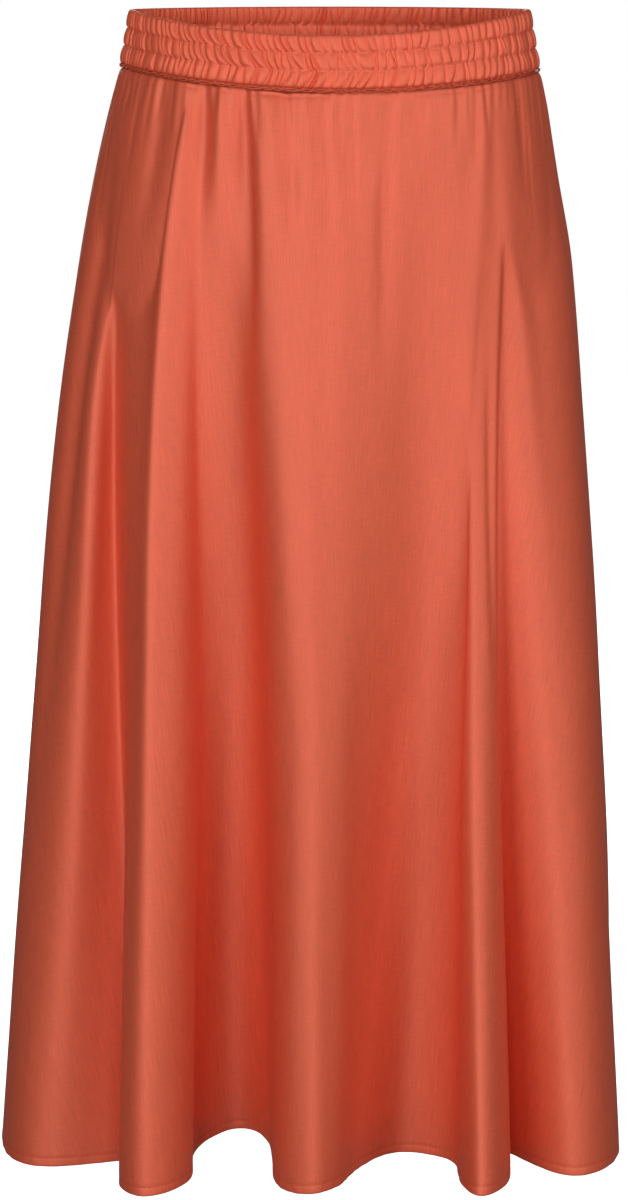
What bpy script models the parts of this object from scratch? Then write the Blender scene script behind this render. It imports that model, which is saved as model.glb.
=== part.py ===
"""Flared maxi skirt with a ruched elastic waistband: front panel, back panel and waistband.

The skirt keeps the hollow form that it has when worn. +Z is up, the front faces -Y, and
the origin is the middle of the waist, where the skirt is held.
"""
import math
from collections import namedtuple

import bmesh
import bpy
import numpy as np
from mathutils import Vector

MM = 0.001

# Driving sizes, in millimetres
CLOTH = 1.5
SEAM_GAP = 0.3
HEM_LEVEL = -895.0
HEM_TURN = 7.0
HEM_LAYERS = 3.0
BAND_TOP = 22.8
BAND_FRONT_DIP = 19.0
BAND_BACK_RISE = 1.2
SEAM_LEVEL = -24.3
SEAM_FRONT_DIP = 15.5
SEAM_TILT = 2.0
DIP_POWER = 1.8

# The waistband: half widths at its top and bottom edge, and its ruched channels
BAND_TOP_HALF = (159.0, 112.0)
BAND_SEAM_HALF = (166.8, 118.0)
BAND_WALL = 2.0
CHANNELS = 3
CHANNEL_ROWS = 4
CHANNEL_ROUNDNESS = 0.7
GATHERS = 60
GATHER_HEIGHT = 0.9
CHANNEL_BULGE = 2.4
GATHER_SLANT = 0.35
BEAD_HEIGHT = 3.2
BEAD_BULGE = 1.6
BEAD_FOOT = 1.3

# The skirt under the waistband, without its folds: how far the cloth stands to each side
# of the origin at each depth below it
Section = namedtuple("Section", "below left right front back")
SECTIONS = (
    Section(22, 168, 168, 119, 119),
    Section(55, 177, 174, 123, 124),
    Section(110, 189, 182, 128, 132),
    Section(180, 202, 194, 133, 139),
    Section(300, 218, 204, 139, 145),
    Section(500, 235, 218, 146, 151),
    Section(700, 252, 229, 152, 155),
    Section(895, 270, 237, 158, 160),
)

# The folds, once round from the left side seam through the front: where each line meets
# the waist (degrees, 270 is the front), where it stands at the hem, how far below the
# origin it starts, how much the hem rises there, how far a gather pushes it out just below
# the waist, how many degrees it swings round on its way down, and how its depth grows
# (1 is evenly, less is sooner)
Fold = namedtuple("Fold", "name waist hem_x hem_y starts rise gather swing growth")
FOLDS = (
    Fold("left_side", 180, -270, 0, 60, 0, 0, 0, 1),
    Fold("left_corner", 191, -259, -110, 110, 0, 0, 0, 1),
    Fold("left_panel", 201, -222, -134, 200, 0, 0, 5.4, 0.6),
    Fold("behind_flute_1", 213, -151, -117, 200, 0, 0, -2.5, 0.4),
    Fold("flute_1_left", 222, -168, -172, 190, 0, 0, 3.8, 0.55),
    Fold("flute_1", 227.5, -144, -208, 80, 0, 1, 3.2, 0.75),
    Fold("flute_1_right", 231, -113, -180, 50, 2, 1, 3.3, 0.85),
    Fold("valley_a_left", 235.5, -107, -104, 90, 6, -2, 4.1, 1),
    Fold("valley_a", 239.5, -77, -82, 90, 15, 1, 5.6, 1),
    Fold("valley_a_right", 245, -49, -110, 50, 10, -3, 3.9, 1),
    Fold("flute_2_left", 248.5, -45, -162, 50, 1, 1, 4.2, 1),
    Fold("flute_2", 265, -10, -201, 50, 0, 1, 0.2, 1),
    Fold("flute_2_right", 284.5, 20, -147, 50, 0, -2, -0.8, 1),
    Fold("valley_b", 296, 58, -104, 50, 2, 0, -0.7, 1),
    Fold("valley_b_right", 305.5, 98, -122, 120, 0, 1, -2.6, 1.4),
    Fold("flute_3_left", 311, 103, -170, 160, 0, 0, -2.8, 2.4),
    Fold("flute_3", 314.5, 118, -207, 160, 0, 1, -3.6, 2),
    Fold("flute_3_right", 317.5, 141, -174, 160, 0, 0, -4.4, 1.5),
    Fold("valley_c", 321, 143, -106, 160, 2, 0, -6.2, 0.55),
    Fold("right_panel", 333, 186, -155, 200, 0, 0, -4, 0.9),
    Fold("right_corner", 342, 226, -130, 150, 0, 0, -1.7, 1),
    Fold("right_side", 352, 237, 0, 60, 0, 0, 0, 1),
    Fold("back_right_panel", 380, 214, 120, 150, 0, 0, 0, 1),
    Fold("valley_d", 393, 160, 106, 120, 3, -2, 2.5, 0.8),
    Fold("flute_4_right", 399, 152, 166, 120, 0, 1, 3, 0.8),
    Fold("flute_4", 406, 126, 198, 100, 0, 2, 3.4, 0.8),
    Fold("flute_4_left", 414, 95, 170, 90, 0, 0, 2.2, 0.9),
    Fold("valley_e", 427, 66, 112, 60, 8, -2, -1, 1),
    Fold("flute_5_right", 439, 41, 160, 60, 2, 0, -2, 1),
    Fold("flute_5", 449, 6, 204, 60, 0, 1, 0, 1),
    Fold("flute_5_left", 459, -31, 166, 60, 2, 0, 1.5, 1),
    Fold("valley_f", 471, -66, 106, 70, 9, -2, 1, 1),
    Fold("flute_6_right", 484, -97, 158, 90, 0, 0, -2, 0.9),
    Fold("flute_6", 492, -124, 200, 100, 0, 2, -3.2, 0.7),
    Fold("flute_6_left", 500, -153, 170, 130, 0, 1, -3, 0.7),
    Fold("valley_g", 509, -167, 108, 130, 4, -1, -2, 0.7),
    Fold("back_left_panel", 521, -229, 124, 150, 0, 0, 0, 1),
)

# How finely the solids follow the form
COLUMN_STEP = 20.0
SKIRT_ROWS = 14
GATHER_PEAK = 35.0
SWING_PEAK = 0.4
SWING_SPAN = 2.0

CLOTH_COLOUR = (0.77, 0.165, 0.095, 1.0)
BAND_COLOUR = (0.74, 0.155, 0.09, 1.0)
CLOTH_ROUGHNESS = 0.45


def smooth_line(knots, values, at):
    """Read a smooth line through the values that never overshoots them."""
    knots = np.asarray(knots, float)
    values = np.asarray(values, float)
    widths = np.diff(knots)
    slopes = np.diff(values) / widths
    tangents = np.empty_like(values)
    tangents[0] = slopes[0]
    tangents[-1] = slopes[-1]
    same_way = slopes[:-1] * slopes[1:] > 0
    harmonic = 2 * slopes[:-1] * slopes[1:] / np.where(same_way, slopes[:-1] + slopes[1:], 1)
    tangents[1:-1] = np.where(same_way, harmonic, 0)
    place = np.clip(np.searchsorted(knots, at, side="right") - 1, 0, len(widths) - 1)
    u = (at - knots[place]) / widths[place]
    rise = widths[place] * (tangents[place] * u * (1 - u) ** 2 - tangents[place + 1] * u * u * (1 - u))
    step = u * u * (3 - 2 * u)
    return values[place] * (1 - step) + values[place + 1] * step + rise


def closed_curve(knots, values, at):
    """Read a closed cubic curve through the values, whose knots run from 0 to below 1."""
    count = len(knots)
    widths = np.diff(np.append(knots, 1.0))
    slopes = (np.roll(values, -1) - values) / widths
    system = np.zeros((count, count))
    for i in range(count):
        system[i, i - 1] += widths[i - 1]
        system[i, i] += 2 * (widths[i - 1] + widths[i])
        system[i, (i + 1) % count] += widths[i]
    bends = np.linalg.solve(system, 6 * (slopes - np.roll(slopes, 1)))
    at = np.asarray(at) % 1.0
    i = np.searchsorted(knots, at, side="right") - 1
    j = (i + 1) % count
    h = widths[i]
    a = (np.asarray(knots)[i] + h - at) / h
    b = 1 - a
    bend = ((a ** 3 - a) * bends[i] + (b ** 3 - b) * bends[j]) * h * h / 6
    return a * values[i] + b * values[j] + bend


def hem_spacing():
    """Straight distance along the hem from each fold line to the next."""
    hem = np.array([(fold.hem_x, fold.hem_y) for fold in FOLDS], float)
    return np.linalg.norm(np.roll(hem, -1, axis=0) - hem, axis=1)


def fold_knots():
    """Share of the way round at which each fold line runs, from its waist and hem spacing."""
    hem_steps = hem_spacing()
    waist = np.array([fold.waist for fold in FOLDS] + [FOLDS[0].waist + 360], float)
    steps = hem_steps / hem_steps.sum() + np.diff(waist) / 360
    return np.concatenate(([0.0], np.cumsum(steps)[:-1])) / steps.sum()


def column(name):
    """One column of the table of folds."""
    return np.array([getattr(fold, name) for fold in FOLDS], float)


def ellipse(angle, left, right, front, back):
    """Points of a closed section that stands differently far out to each side."""
    x_half = np.where(np.cos(angle) < 0, left, right)
    y_half = np.where(np.sin(angle) < 0, front, back)
    return x_half * np.cos(angle), y_half * np.sin(angle)


def dip(angle):
    """1 at the front of the waist, -1 at the back, 0 at the sides."""
    return -np.sign(np.sin(angle)) * np.abs(np.sin(angle)) ** DIP_POWER


def seam_level(angle):
    """Height of the seam between skirt and waistband."""
    return SEAM_LEVEL - SEAM_FRONT_DIP * np.maximum(dip(angle), 0) - SEAM_TILT * np.cos(angle)


def band_top_level(angle):
    """Height of the waistband's top edge."""
    toward_front = dip(angle)
    drop = BAND_FRONT_DIP * np.maximum(toward_front, 0)
    return BAND_TOP - drop + BAND_BACK_RISE * np.maximum(-toward_front, 0)


def swing_share(drop):
    """How much of its swing a fold line has at a share of the way down."""
    early = (drop / SWING_PEAK) ** (SWING_SPAN * SWING_PEAK)
    late = max((1 - drop) / (1 - SWING_PEAK), 0) ** (SWING_SPAN * (1 - SWING_PEAK))
    return early * late


def skirt_point_grid(shares, drops):
    """Outer points of the skirt, a row for each drop (0 at the seam, 1 at the hem)."""
    knots = fold_knots()
    waist = np.append(column("waist"), FOLDS[0].waist + 360)
    waist_angle = np.radians(smooth_line(np.append(knots, 1), waist, shares))
    hem_x = closed_curve(knots, column("hem_x"), shares)
    hem_y = closed_curve(knots, column("hem_y"), shares)
    starts = closed_curve(knots, column("starts"), shares)
    hem = HEM_LEVEL + closed_curve(knots, column("rise"), shares)
    gather = closed_curve(knots, column("gather"), shares)
    swing = np.radians(closed_curve(knots, column("swing"), shares))
    growth = closed_curve(knots, column("growth"), shares)
    depths = [section.below for section in SECTIONS]
    last = SECTIONS[-1]
    hem_wide = np.where(hem_x < 0, last.left, last.right)
    hem_deep = np.where(hem_y < 0, last.front, last.back)
    hem_angle = np.unwrap(np.arctan2(hem_y / hem_deep, hem_x / hem_wide))
    hem_angle += 2 * math.pi * np.round((waist_angle[0] - hem_angle[0]) / (2 * math.pi))
    hem_reach = np.hypot(hem_x / hem_wide, hem_y / hem_deep)
    top = seam_level(waist_angle) - SEAM_GAP
    rows = []
    for drop in drops:
        z = top + (hem - top) * drop
        angle = waist_angle + (hem_angle - waist_angle) * drop + swing * swing_share(drop)
        sides = [smooth_line(depths, [getattr(section, side) for section in SECTIONS], -z)
                 for side in ("left", "right", "front", "back")]
        grown = np.clip((-z - starts) / (-hem - starts), 0, 1) ** growth
        x, y = ellipse(angle, *sides)
        reach = 1 + (hem_reach - 1) * grown
        below = (top - z) / GATHER_PEAK
        push = 1 + gather * below * np.exp(1 - below) / np.hypot(x, y)
        rows.append(np.stack((x * reach * push, y * reach * push, z), axis=1))
    return np.array(rows)


def outward(grid):
    """Unit normals of a closed grid of points that runs anticlockwise, top row first."""
    around = np.roll(grid, -1, axis=1) - np.roll(grid, 1, axis=1)
    down = np.gradient(grid, axis=0)
    normals = np.cross(down, around)
    return normals / np.linalg.norm(normals, axis=2, keepdims=True)


def wall(name, outer, inner, closed, material):
    """Close two grids of points, top row first, into one solid wall."""
    rows, columns = outer.shape[:2]
    mesh = bpy.data.meshes.new(name)
    shape = bmesh.new()
    out = [[shape.verts.new(Vector(point) * MM) for point in row] for row in outer]
    into = [[shape.verts.new(Vector(point) * MM) for point in row] for row in inner]
    for j in range(columns if closed else columns - 1):
        k = (j + 1) % columns
        for i in range(rows - 1):
            shape.faces.new((out[i][j], out[i + 1][j], out[i + 1][k], out[i][k]))
            shape.faces.new((into[i][j], into[i][k], into[i + 1][k], into[i + 1][j]))
        shape.faces.new((out[0][j], out[0][k], into[0][k], into[0][j]))
        shape.faces.new((out[-1][j], into[-1][j], into[-1][k], out[-1][k]))
    if not closed:
        for i in range(rows - 1):
            shape.faces.new((out[i][0], into[i][0], into[i + 1][0], out[i + 1][0]))
            shape.faces.new((out[i][-1], out[i + 1][-1], into[i + 1][-1], into[i][-1]))
    bmesh.ops.triangulate(shape, faces=shape.faces)
    shape.to_mesh(mesh)
    shape.free()
    mesh.materials.append(material)
    piece = bpy.data.objects.new(name, mesh)
    bpy.context.scene.collection.objects.link(piece)
    return piece


def satin(name, colour):
    """Cloth of one colour with a soft sheen."""
    material = bpy.data.materials.new(name)
    material.use_nodes = True
    shader = material.node_tree.nodes["Principled BSDF"]
    shader.inputs["Base Color"].default_value = colour
    shader.inputs["Roughness"].default_value = CLOTH_ROUGHNESS
    shader.inputs["Metallic"].default_value = 0.0
    return material


def skirt_panels(material):
    """Front and back panel, which meet at the side seams."""
    knots = np.append(fold_knots(), 1.0)
    names = [fold.name for fold in FOLDS]
    shares = []
    for i, spacing in enumerate(hem_spacing()):
        if names[i] == "right_side":
            right = len(shares)
        steps = max(2, round(spacing / COLUMN_STEP))
        shares.extend(knots[i] + (knots[i + 1] - knots[i]) * k / steps for k in range(steps))
    length = SEAM_LEVEL - HEM_LEVEL
    turn = HEM_TURN / length
    drops = list(np.linspace(0, 1 - turn, SKIRT_ROWS)) + [1 - turn + CLOTH / length, 1.0]
    grid = skirt_point_grid(np.array(shares), drops)
    normals = outward(grid)
    thickness = np.full((len(drops), 1, 1), CLOTH)
    thickness[-2:] = HEM_LAYERS
    inner = grid - normals * thickness
    inner[..., 2] = np.minimum(inner[..., 2], grid[0, :, 2])
    inner[0, :, 2] = grid[0, :, 2]
    inner[-1, :, 2] = grid[-1, :, 2]
    front = list(range(right + 1))
    back = list(range(right, len(shares))) + [0]
    for name, columns in (("skirt_front", front), ("skirt_back", back)):
        outer_part = grid[:, columns].copy()
        inner_part = inner[:, columns].copy()
        for end, beside in ((0, 1), (-1, -2)):
            along = outer_part[:, beside] - outer_part[:, end]
            along /= np.linalg.norm(along, axis=1, keepdims=True)
            outer_part[:, end] += along * SEAM_GAP / 2
            inner_part[:, end] += along * SEAM_GAP / 2
        wall(name, outer_part, inner_part, False, material)


def band_profile():
    """Rows of the waistband from top to bottom: height share, bulge, and gather share."""
    height = BAND_TOP - SEAM_LEVEL
    bead = BEAD_HEIGHT / height
    channel = (1 - bead) / CHANNELS
    rows = []
    for index in range(CHANNELS):
        top = 1 - index * channel
        for step in range(CHANNEL_ROWS):
            swell = math.sin(math.pi * step / CHANNEL_ROWS) ** CHANNEL_ROUNDNESS
            rows.append((top - channel * step / CHANNEL_ROWS, CHANNEL_BULGE * swell, swell))
    rows.append((bead, 0, 0))
    rows.append((bead / 2, BEAD_BULGE, 0))
    rows.append((0, BEAD_FOOT, 0))
    return rows


def band_row(angle, share, out):
    """Points round the waistband at a share of its height, moved out from its plain form."""
    wide, deep = [seam + (top - seam) * share for top, seam in zip(BAND_TOP_HALF, BAND_SEAM_HALF)]
    x, y = ellipse(angle, wide + out, wide + out, deep + out, deep + out)
    bottom = seam_level(angle)
    z = bottom + (band_top_level(angle) - bottom) * share
    return np.stack((x, y, z), axis=1)


def waistband(material):
    """Ruched ring in channels between stitched lines, on a puckered bead at the seam."""
    count = 2 * GATHERS
    angle = math.pi + 2 * math.pi * np.arange(count) / count
    crest = np.where(np.arange(count) % 2 == 0, 1.0, -1.0)
    outer = []
    inner = []
    for share, bulge, gathered in band_profile():
        shift = GATHER_SLANT * (share * CHANNELS % 1 - 0.5) * gathered
        turned = angle + 2 * math.pi * shift / GATHERS * np.cos(angle)
        bulges = bulge + GATHER_HEIGHT * gathered * crest
        outer.append(band_row(turned, share, bulges))
        inner.append(band_row(angle, share, -BAND_WALL))
    wall("waistband", np.array(outer), np.array(inner), True, material)


def main():
    for item in list(bpy.data.objects):
        bpy.data.objects.remove(item, do_unlink=True)
    skirt_panels(satin("satin", CLOTH_COLOUR))
    waistband(satin("ruched_satin", BAND_COLOUR))


main()
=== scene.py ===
"""Looks of a flared satin maxi skirt with a ruched elastic waistband, built on its solids.

The front and back panel are thin sheets of satin on the form of the solids, with their
gathers and creases. The waistband is one ring of cloth ruched between stitched lines, with
a twisted seam under it. Sizes in the tables are millimetres, and the meshes are in metres.
"""

import math
from collections import namedtuple

import bpy
import numpy as np
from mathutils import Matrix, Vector


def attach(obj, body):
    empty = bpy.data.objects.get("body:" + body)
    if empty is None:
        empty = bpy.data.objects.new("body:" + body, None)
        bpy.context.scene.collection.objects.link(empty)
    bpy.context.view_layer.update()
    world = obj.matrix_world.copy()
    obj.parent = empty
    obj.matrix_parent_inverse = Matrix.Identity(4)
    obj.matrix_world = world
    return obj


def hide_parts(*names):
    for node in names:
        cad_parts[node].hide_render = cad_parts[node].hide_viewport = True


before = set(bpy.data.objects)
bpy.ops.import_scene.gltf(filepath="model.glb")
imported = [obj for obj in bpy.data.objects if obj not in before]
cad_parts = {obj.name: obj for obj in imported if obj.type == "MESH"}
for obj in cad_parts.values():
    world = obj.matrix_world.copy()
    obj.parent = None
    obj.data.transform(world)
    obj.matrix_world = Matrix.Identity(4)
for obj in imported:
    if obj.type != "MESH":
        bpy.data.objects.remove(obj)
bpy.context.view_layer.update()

bl_info = {
    "name": "Satin maxi skirt",
    "version": (1, 0, 0),
    "blender": (4, 5, 0),
    "location": "View3D > Sidebar > Skirt",
    "description": "Makes the satin panels, ruched waistband, seams and studio of a maxi skirt",
    "category": "Object",
}

MM = 0.001
TAU = 2 * math.pi
BODY = "root"

# Driving sizes of the solids, in millimetres
SEAM_GAP = 0.3
HEM_LEVEL = -895.0
BAND_TOP = 22.8
BAND_FRONT_DIP = 19.0
BAND_BACK_RISE = 1.2
SEAM_LEVEL = -24.3
SEAM_FRONT_DIP = 15.5
SEAM_TILT = 2.0
DIP_POWER = 1.8
BAND_TOP_HALF = (159.0, 112.0)
BAND_SEAM_HALF = (166.8, 118.0)
BAND_WALL = 2.0
CHANNELS = 3
CHANNEL_BULGE = 1.25
BEAD_HEIGHT = 3.2
GATHER_PEAK = 35.0
SWING_PEAK = 0.4
SWING_SPAN = 2.0

# The skirt under the waistband, without its folds: how far the cloth stands to each side
# of the origin at each depth below it
Section = namedtuple("Section", "below left right front back")
SECTIONS = (
    Section(22, 168, 168, 119, 119),
    Section(55, 177, 174, 123, 124),
    Section(110, 189, 182, 128, 132),
    Section(180, 202, 194, 133, 139),
    Section(300, 218, 204, 139, 145),
    Section(500, 235, 218, 146, 151),
    Section(700, 252, 229, 152, 155),
    Section(895, 270, 237, 158, 160),
)

# The folds, once round from the left side seam through the front: where each line meets
# the waist (degrees, 270 is the front), where it stands at the hem, how far below the
# origin it starts, how much the hem rises there, how far a gather pushes it out just below
# the waist, how many degrees it swings round on its way down, and how its depth grows
# (1 is evenly, less is sooner)
Fold = namedtuple("Fold", "name waist hem_x hem_y starts rise gather swing growth")
FOLDS = (
    Fold("left_side", 180, -270, 0, 60, 0, 0, 0, 1),
    Fold("left_corner", 191, -259, -110, 110, 0, 0, 0, 1),
    Fold("left_panel", 201, -222, -134, 200, 0, 0, 5.4, 0.6),
    Fold("behind_flute_1", 213, -151, -117, 200, 0, 0, -2.5, 0.4),
    Fold("flute_1_left", 222, -168, -172, 190, 0, 0, 3.8, 0.55),
    Fold("flute_1", 227.5, -144, -208, 80, 0, 1, 3.2, 0.75),
    Fold("flute_1_right", 231, -113, -180, 50, 2, 1, 3.3, 0.85),
    Fold("valley_a_left", 235.5, -107, -104, 90, 6, -2, 4.1, 1),
    Fold("valley_a", 239.5, -77, -82, 90, 15, 1, 5.6, 1),
    Fold("valley_a_right", 245, -49, -110, 50, 10, -3, 3.9, 1),
    Fold("flute_2_left", 248.5, -45, -162, 50, 1, 1, 4.2, 1),
    Fold("flute_2", 265, -10, -201, 50, 0, 1, 0.2, 1),
    Fold("flute_2_right", 284.5, 20, -147, 50, 0, -2, -0.8, 1),
    Fold("valley_b", 296, 58, -104, 50, 2, 0, -0.7, 1),
    Fold("valley_b_right", 305.5, 98, -122, 120, 0, 1, -2.6, 1.4),
    Fold("flute_3_left", 311, 103, -170, 160, 0, 0, -2.8, 2.4),
    Fold("flute_3", 314.5, 118, -207, 160, 0, 1, -3.6, 2),
    Fold("flute_3_right", 317.5, 141, -174, 160, 0, 0, -4.4, 1.5),
    Fold("valley_c", 321, 143, -106, 160, 2, 0, -6.2, 0.55),
    Fold("right_panel", 333, 186, -155, 200, 0, 0, -4, 0.9),
    Fold("right_corner", 342, 226, -130, 150, 0, 0, -1.7, 1),
    Fold("right_side", 352, 237, 0, 60, 0, 0, 0, 1),
    Fold("back_right_panel", 380, 214, 120, 150, 0, 0, 0, 1),
    Fold("valley_d", 393, 160, 106, 120, 3, -2, 2.5, 0.8),
    Fold("flute_4_right", 399, 152, 166, 120, 0, 1, 3, 0.8),
    Fold("flute_4", 406, 126, 198, 100, 0, 2, 3.4, 0.8),
    Fold("flute_4_left", 414, 95, 170, 90, 0, 0, 2.2, 0.9),
    Fold("valley_e", 427, 66, 112, 60, 8, -2, -1, 1),
    Fold("flute_5_right", 439, 41, 160, 60, 2, 0, -2, 1),
    Fold("flute_5", 449, 6, 204, 60, 0, 1, 0, 1),
    Fold("flute_5_left", 459, -31, 166, 60, 2, 0, 1.5, 1),
    Fold("valley_f", 471, -66, 106, 70, 9, -2, 1, 1),
    Fold("flute_6_right", 484, -97, 158, 90, 0, 0, -2, 0.9),
    Fold("flute_6", 492, -124, 200, 100, 0, 2, -3.2, 0.7),
    Fold("flute_6_left", 500, -153, 170, 130, 0, 1, -3, 0.7),
    Fold("valley_g", 509, -167, 108, 130, 4, -1, -2, 0.7),
    Fold("back_left_panel", 521, -229, 124, 150, 0, 0, 0, 1),
)

# Soft creases laid over the folds. A crease runs down the cloth from one turn round
# the waist to another (degrees, as in the folds), between two depths below the origin; it
# bows sideways by so many degrees, and is a trough (below 0) or a ridge that deep and wide.
Crease = namedtuple("Crease", "turn_top turn_end starts ends bow width depth")
CREASES = (
    Crease(202, 201, 220, 550, 2, 8, 3),
    Crease(198, 193, 50, 640, 0, 8, -6),
    Crease(222, 218, 20, 170, 0, 6, -2.5),
    Crease(230, 231, 20, 80, 0, 2.5, -1),
    Crease(234, 235, 20, 150, 1, 6, -3.5),
    Crease(238, 238, 20, 70, 0, 2.5, -1),
    Crease(242, 242, 20, 90, 0, 2.5, -1),
    Crease(246, 246, 20, 280, 1, 5, -5),
    Crease(250, 251, 20, 90, 0, 2.5, -2),
    Crease(254, 255, 20, 70, 0, 2.5, -1),
    Crease(258, 259, 20, 180, 1, 5, -4),
    Crease(262, 263, 20, 120, 0, 3.5, -2.5),
    Crease(266, 267, 20, 110, 0, 3.5, -2.5),
    Crease(269, 270, 20, 160, 0, 3.5, -2.5),
    Crease(273, 273, 20, 120, 0, 3.5, -3),
    Crease(276, 277, 20, 190, 0, 3.5, -3),
    Crease(280, 281, 20, 130, 0, 3.5, -2.5),
    Crease(286, 286, 20, 300, -1, 6, -4),
    Crease(293, 292, 20, 110, 0, 6, -3),
    Crease(300, 299, 20, 90, 0, 2.5, -1),
    Crease(306, 304, 20, 100, 0, 2.5, -1),
    Crease(331, 332, 20, 130, 0, 4, -2),
    Crease(317, 318, 220, 560, 0, 3, -2),
    Crease(350, 350, 20, 480, 0, 2, 0.5),
    Crease(266, 264, 20, 60, 0, 2, -2),
    Crease(267, 269, 20, 50, 0, 2, -2),
    Crease(288, 286, 20, 60, 0, 2, -2),
    Crease(289, 291, 20, 50, 0, 2, -1.5),
    Crease(198, 202, 20, 60, 0, 2.5, -2),
)

# Fine gathers that the waist seam pushes into the cloth
FINE_GATHERS = 118
GATHER_SEED = 11
GATHER_GAPS = (0.55, 1.5)
GATHER_ENDS = 54
GATHER_LONGER = 34
GATHER_DEPTH = (0.35, 1.2)
GATHER_WIDTH = (1.3, 2.6)
GATHER_DRIFT = 0.8
NEAR_SEAM = 40
SIDE_REACH = 15
FADE_IN = 0.3
FADE_OUT = 0.6

# Slow unevenness of the hanging cloth
DRAPE_SEED = 3
DRAPE_WAVES = 14
DRAPE_SIZE = 3.2
DRAPE_ROUND = (8, 40)
DRAPE_DOWN = (250, 900)
DRAPE_STARTS = 30
DRAPE_GROWS = 120

# Sizes of the sheets
CLOTH = 0.5
PANEL_COLUMNS = 340
PANEL_ROWS = 120
HEM_ROWS = 11
HEM_BAND = 14.0
HEM_TURN = 7.0
HEM_TURN_STEPS = 3
HEM_FOLD = 0.75
HEM_FOLD_STEPS = 4
HEM_STITCH_ABOVE = 6.2
HEM_LINE = 0.35
HEM_LINE_WIDTH = 0.9
HEM_PUCKER = 0.16
HEM_PUCKER_WAVES = (59, 83, 127, 171)
HEM_SEED = 8
SEAM_TUCK = 1.4
SEAM_TUCK_HEIGHT = 3.0
ALLOWANCE_SHARE = 0.0045
ALLOWANCE_COLUMNS = 7
ALLOWANCE_ROWS = 150
ALLOWANCE_END = 0.991
ALLOWANCE_INSET = 0.9

# The flat cut of one panel, a sector of a ring
CUT_TOP = 620.0
CUT_HEM = 1170.0
CUT_LENGTH = 870.0

# The waistband's gathers: how far each of its stitched lines runs round past the top edge's
# gathers, in millimetres, at turns round the waist
RUCHES = 158
RUCHE_SEED = 5
RUCHE_GAPS = (0.45, 1.55)
RUCHE_SKEW = (0.8, 1.25)
RUCHE_LIFT = (0.55, 1.25)
RUCHE_SPREAD = 0.3
RUCHE_WIDEST = 325
RUCHE_WIDER = 0.15
RUCHE_LINES = (0.0, 0.07, 0.2, 0.38, 0.6, 0.8, 0.93)
RUCHE_POWER = 0.8
RUCHE_HEIGHT = 1.9
RUCHE_BEND = 1.5
WAIST_RADIUS = 140.0
BAND_LINES = ("top", "line_1", "line_2", "seam")
Slant = namedtuple("Slant", "turn line_1 line_2 seam")
SLANTS = (
    Slant(180, 0.5, 1.0, 0.5),
    Slant(215, 4.5, 8.5, 7.0),
    Slant(245, 6.0, 11.5, 9.0),
    Slant(270, 3.0, 5.5, 1.0),
    Slant(300, 0.5, 1.0, -1.5),
    Slant(345, 0.0, 0.8, 0.5),
    Slant(390, 1.0, 3.0, 4.0),
    Slant(440, 2.5, 2.0, 3.5),
    Slant(495, -1.5, -3.0, -1.0),
)
CHANNEL_STEPS = 10
CHANNEL_ROUNDNESS = 0.45
CHANNEL_SAG = 1.25
SEAM_RECESS = 2.0
INNER_STEPS = 7
FOLD_HEIGHT = 2.4
FOLD_STEPS = 5
FOLD_START = 0.25
INNER_BULGE = 1.3
BAND_CUT = (1250.0, 47.0)

# The twisted seam under the waistband
TWIST_PITCH = 20.0
TWIST_RADIUS = 0.95
TWIST_OUT = 0.9
TWIST_DROP = 0.4
TWIST_SEED = 21
TWIST_WAVES = (5, 9, 14, 23, 31)
TWIST_WANDER = 1.6
STRAND_RADIUS = 0.62
STRAND_SIDES = 8
STRAND_STEPS = 700

# Stitches
STITCH_RADIUS = 0.22
HEM_STITCH_PITCH = 3.0
HEM_STITCH = 2.3
HEM_STITCH_COLUMNS = 900
HEM_STITCH_STEP = 0.001
CHANNEL_STITCH_PITCH = 3.4
CHANNEL_STITCH = 2.4
CHANNEL_STITCH_COLUMNS = 1200

# The patterns in the cloth, in millimetres across and along the flat cut
Pattern = namedtuple("Pattern", "across along detail")
WARP = Pattern(0.9, 26.0, 2.0)
WEFT = Pattern(13.0, 0.8, 2.0)
FINE_WARP = Pattern(0.32, 5.0, 0.0)
FINE_WEFT = Pattern(5.0, 0.36, 0.0)
MOTTLE = Pattern(70.0, 90.0, 2.0)
WRINKLE = Pattern(9.0, 16.0, 3.0)

# How crumpled each of the three copies of the satin is, and how much paler or darker its colour is
# made: the ruched band's colour is paler as painted light, and the seam's under it darker as
# painted shade
CrumpleAndPaintedLight = namedtuple("CrumpleAndPaintedLight", "crumple pale")
CRUMPLE_AND_PAINTED_LIGHT = {
    "satin_cloth": CrumpleAndPaintedLight(0.10, 1.0),
    # The waistband's satin: the same colour made paler, as painted light on the band
    "ruched_cloth_painted_light": CrumpleAndPaintedLight(0.16, 1.08),
    # The twisted seam's satin: the same colour made darker, as painted shade under the band
    "seam_cloth_painted_shade": CrumpleAndPaintedLight(0.16, 0.8),
}
SHINE_TINT = (1.0, 0.94, 0.78, 1.0)
COAT_ROUGHNESS = 0.6

# The camera stands where the photograph was taken from
CAMERA_PLACE = (-0.0128, -3.0, 0.045)
CAMERA_TILT = 80.52
CAMERA_LENS = 111.24
CAMERA_SENSOR = 36.0
FLOOR_LEVEL = -1.02

# The soft lights, in metres, that face the middle of the skirt, and each one's share of
# their power
LAMP_SIZE = 1.2
MIDDLE_LEVEL = -0.4
Lamp = namedtuple("Lamp", "name x y z share")
LAMPS = (
    Lamp("left_light", -1.53, -2.65, 0.84, 0.27),
    Lamp("low_light", 0.0, -3.2, -0.42, 0.173),
    Lamp("right_light", 2.3, -2.08, 0.73, 0.248),
    Lamp("back_light", -0.6, 3.1, 0.6, 0.309),
)


# --- The form of the solids -------------------------------------------------------------

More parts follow.
